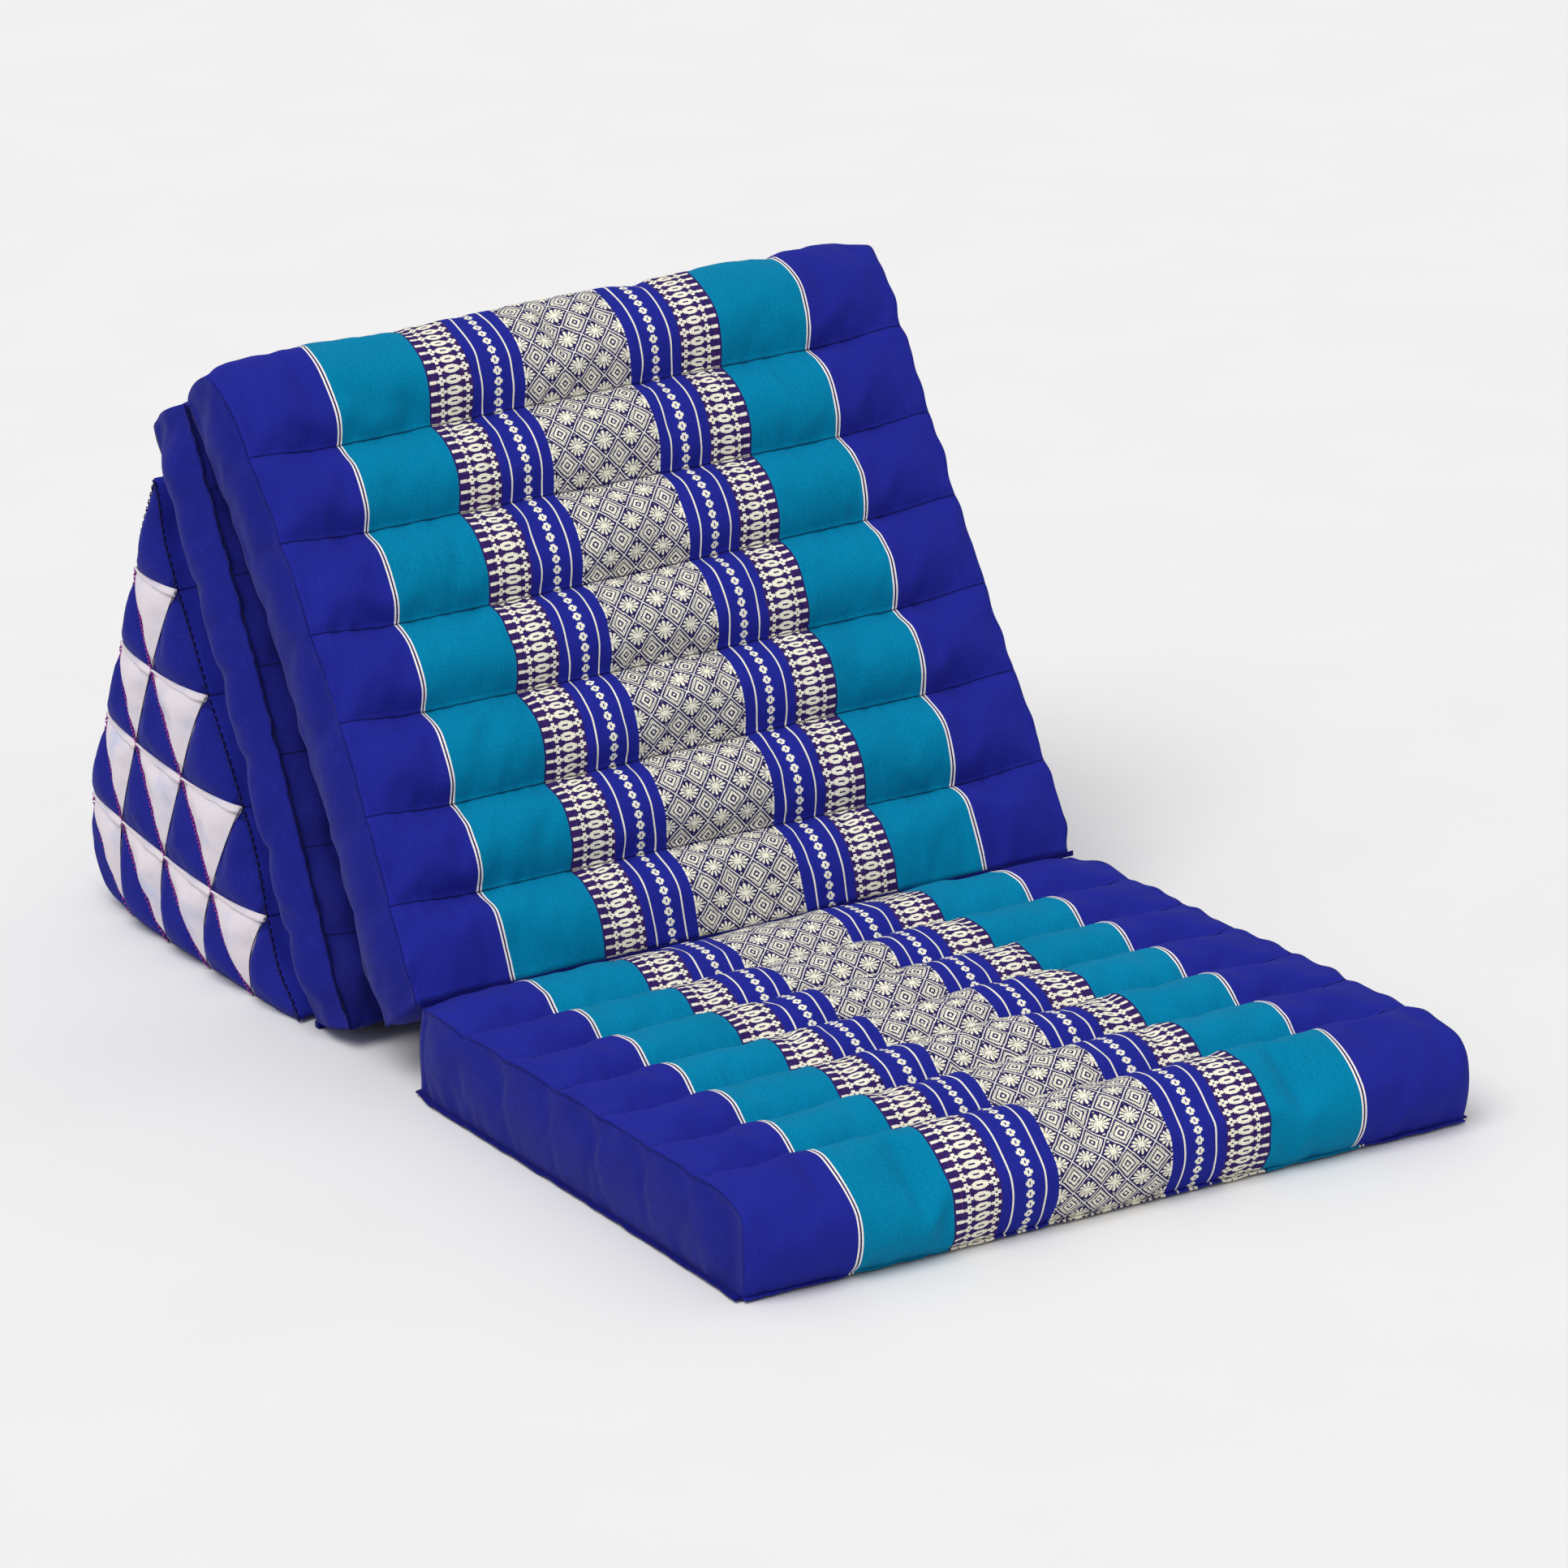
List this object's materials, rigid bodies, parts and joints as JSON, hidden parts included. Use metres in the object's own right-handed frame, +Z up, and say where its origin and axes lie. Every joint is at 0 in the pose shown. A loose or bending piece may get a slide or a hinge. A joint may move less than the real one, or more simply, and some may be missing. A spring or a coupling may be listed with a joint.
{
  "type": "triangle cushion with fold-out mat",
  "caption": "Filled triangular prism cushion with a channelled fold-out mat, set up as a floor seat with a sloping backrest.",
  "frame": {"origin": "centre of the footprint, on the floor", "axes": "+X across the seat to the sitter's left, +Y from the front of the seat back to the wedge, +Z up"},
  "size_m": [0.5474, 0.952, 0.4476],
  "materials": {
    "woven_cotton": "dyed woven cotton over kapok filling",
    "seam_allowance": "dyed cotton seam allowance with overlock thread"
  },
  "bodies": {
    "root": {"wedge_cushion": "woven_cotton", "folded_section": "woven_cotton", "backrest_section": "woven_cotton", "seat_section": "woven_cotton", "seam_seat_backrest": "seam_allowance", "seam_backrest_folded": "seam_allowance", "seam_folded_wedge": "seam_allowance"}
  },
  "joints": []
}
